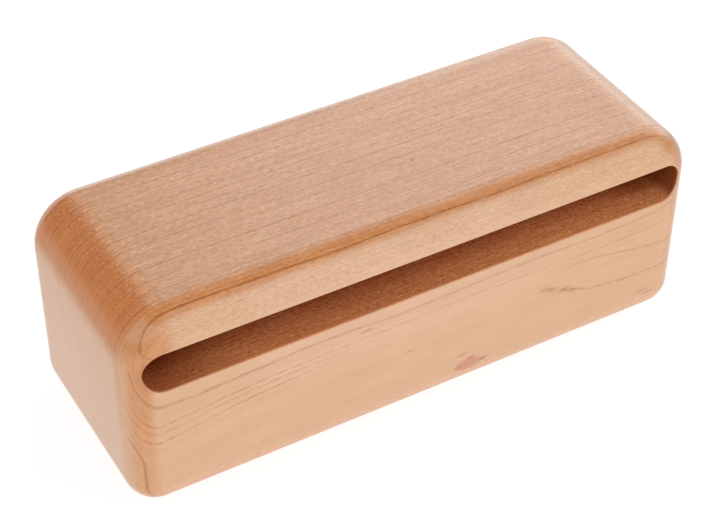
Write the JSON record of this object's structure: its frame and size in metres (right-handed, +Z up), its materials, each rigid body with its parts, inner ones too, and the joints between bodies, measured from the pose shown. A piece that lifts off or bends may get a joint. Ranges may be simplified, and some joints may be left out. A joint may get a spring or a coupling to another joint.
{
  "type": "woodblock",
  "caption": "Rounded slab of satin maple with a long round-ended resonance slot along its front, struck on the thin plate above the slot, on low rubber feet.",
  "frame": {"origin": "middle of the footprint, on the plane that the feet stand on", "axes": "+X along the block's length, the slot opens towards -Y, +Z up"},
  "size_m": [0.2, 0.0754, 0.075],
  "materials": {
    "maple": "satin lacquer over straight-grained maple",
    "foot_rubber": "matte moulded rubber"
  },
  "bodies": {
    "root": {"maple_block": "maple", "foot_front_left": "foot_rubber", "foot_front_right": "foot_rubber", "foot_rear_left": "foot_rubber", "foot_rear_right": "foot_rubber"}
  },
  "joints": []
}
